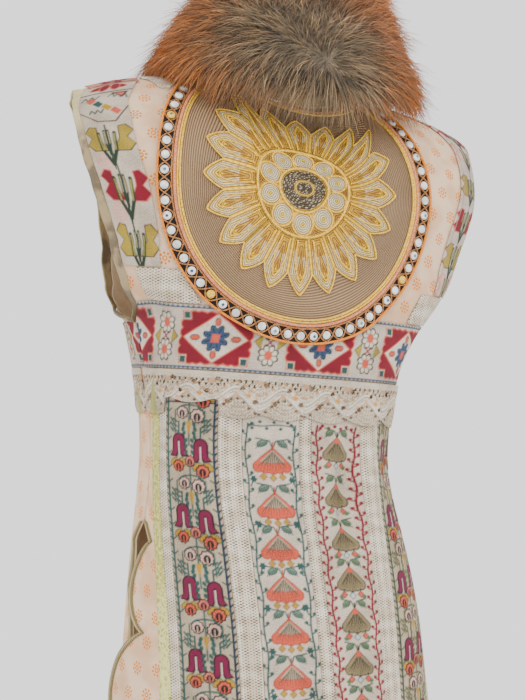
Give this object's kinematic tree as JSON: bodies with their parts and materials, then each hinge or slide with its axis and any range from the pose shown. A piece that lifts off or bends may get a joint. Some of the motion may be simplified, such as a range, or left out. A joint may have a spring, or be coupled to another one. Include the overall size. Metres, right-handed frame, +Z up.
{
  "type": "embroidered sleeveless vest",
  "caption": "Long patchwork vest with embroidered strips, lace, a round corded medallion on the back, scalloped side vents and a fur collar, open down the front.",
  "frame": {"origin": "centre of the neck, level with the tops of the shoulders, where the wearer holds the vest up", "axes": "+Z up, the front faces -Y, the back faces +Y, the wearer's left is +X"},
  "size_m": [0.4354, 0.2829, 0.8907],
  "materials": {
    "satin": "satin",
    "panel": "peach cotton with small orange printed flowers",
    "crochet": "cream crochet",
    "floral_strip": "embroidered linen",
    "braid": "two-cord braid",
    "fur": "long fur",
    "lace": "cream bobbin lace",
    "medal": "couched metal cord",
    "medal_ring": "couched copper cord and pearly beads",
    "ribbon": "pale olive velvet",
    "shoulder_patch": "embroidered linen",
    "shoulder_strip": "embroidered linen",
    "tulip_strip": "embroidered linen",
    "waist_band": "cross-stitched wool on linen"
  },
  "bodies": {
    "root": {"armhole_facing_back_left": "satin", "armhole_facing_back_right": "satin", "armhole_facing_front_left": "satin", "armhole_facing_front_right": "satin", "back_panel_chest": "panel", "back_panel_skirt": "panel", "back_panel_waist": "panel", "collar_band": "satin", "crochet_centre": "crochet", "crochet_inner_left": "crochet", "crochet_inner_right": "crochet", "crochet_outer_left": "crochet", "crochet_outer_right": "crochet", "floral_strip_left": "floral_strip", "floral_strip_right": "floral_strip", "front_braid_left": "braid", "front_braid_right": "braid", "front_panel_chest_left": "panel", "front_panel_chest_right": "panel", "front_panel_skirt_left": "panel", "front_panel_skirt_right": "panel", "fur_collar": "fur", "hem_braid_back": "braid", "hem_braid_front_left": "braid", "hem_braid_front_right": "braid", "lace_band_back": "lace", "lace_band_front_left": "lace", "lace_band_front_right": "lace", "medal": "medal", "medal_ring": "medal_ring", "ribbon_left": "ribbon", "ribbon_right": "ribbon", "shoulder_lace_left": "lace", "shoulder_lace_right": "lace", "shoulder_patch_left": "shoulder_patch", "shoulder_strip_left": "shoulder_strip", "shoulder_strip_right": "shoulder_strip", "tulip_strip_left": "tulip_strip", "tulip_strip_right": "tulip_strip", "vent_braid_back_left": "braid", "vent_braid_back_right": "braid", "vent_braid_front_left": "braid", "vent_braid_front_right": "braid", "waist_band_back": "waist_band", "waist_band_front_left": "waist_band", "waist_band_front_right": "waist_band", "yoke_lace_left": "lace", "yoke_lace_right": "lace"}
  },
  "joints": []
}
